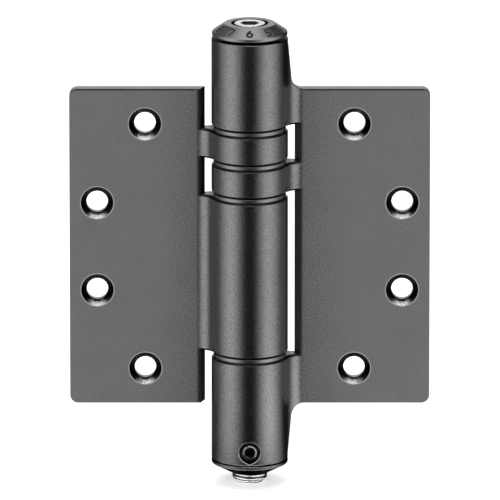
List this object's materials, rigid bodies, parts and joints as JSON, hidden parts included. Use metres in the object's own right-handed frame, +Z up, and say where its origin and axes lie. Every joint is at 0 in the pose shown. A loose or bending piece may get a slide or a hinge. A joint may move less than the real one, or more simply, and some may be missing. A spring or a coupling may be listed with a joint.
{
  "type": "self-closing hinge",
  "caption": "Self-closing butt hinge in dark grey metal: a fat barrel with a numbered tension dial on top, interleaved knuckles, drilled leaves and a threaded speed regulator below.",
  "frame": {"origin": "on the pivot axis, at the middle of the hinge's overall box", "axes": "+Z up along the pivot axis, -Y towards the countersunk faces, +X towards the frame leaf"},
  "size_m": [0.127, 0.027, 0.1664],
  "materials": {
    "grey_finish": "satin dark grey",
    "dial_finish": "satin dark grey",
    "bright_steel": "bright",
    "plain_steel": "machined",
    "spring_steel": "oiled",
    "bronze": "machined",
    "piston_metal": "machined",
    "washer_steel": "dark",
    "seal_rubber": "black"
  },
  "bodies": {
    "frame_leaf": {"frame_leaf": "grey_finish", "spring_sleeve": "plain_steel", "damper_cylinder": "plain_steel", "spindle_gland": "bronze", "spindle_seal": "seal_rubber", "thrust_washer_2": "washer_steel", "thrust_washer_4": "washer_steel", "end_plug": "grey_finish", "end_plug_seal": "seal_rubber", "plug_set_screw": "plain_steel"},
    "door_leaf": {"door_leaf": "grey_finish", "upper_bush": "bronze", "middle_bush": "bronze", "lower_bush": "bronze", "spindle": "plain_steel", "drive_key": "plain_steel", "thrust_washer_1": "washer_steel", "thrust_washer_3": "washer_steel", "torsion_spring": "spring_steel"},
    "tension_dial": {"tension_dial": "dial_finish", "tension_stud": "bright_steel"},
    "piston": {"piston": "piston_metal", "piston_seal": "seal_rubber", "drive_ball_right": "bright_steel", "drive_ball_left": "bright_steel"},
    "speed_regulator": {"speed_regulator": "bright_steel", "regulator_seal": "seal_rubber"}
  },
  "joints": [
    {"name": "door_swing", "type": "hinge", "parent": "frame_leaf", "child": "door_leaf", "pos_m": [0, 0, 0], "axis": [0, 0, 1], "range_deg": [0, 180], "deforming": ["torsion_spring"]},
    {"name": "dial_turn", "type": "hinge", "parent": "frame_leaf", "child": "tension_dial", "pos_m": [0, 0, 0.075], "axis": [0, 0, 1], "range_deg": [-216, 108], "deforming": ["torsion_spring"]},
    {"name": "piston_stroke", "type": "slide", "parent": "frame_leaf", "child": "piston", "axis": [0, 0, 1], "range_m": [-0.008, 0]},
    {"name": "regulator_turn", "type": "hinge", "parent": "frame_leaf", "child": "speed_regulator", "pos_m": [0, 0, -0.075], "axis": [0, 0, 1], "range_deg": [-180, 180]}
  ],
  "couplings": [
    {"joint": "piston_stroke", "follows": "door_swing", "m_per_rad": -0.0025465}
  ]
}
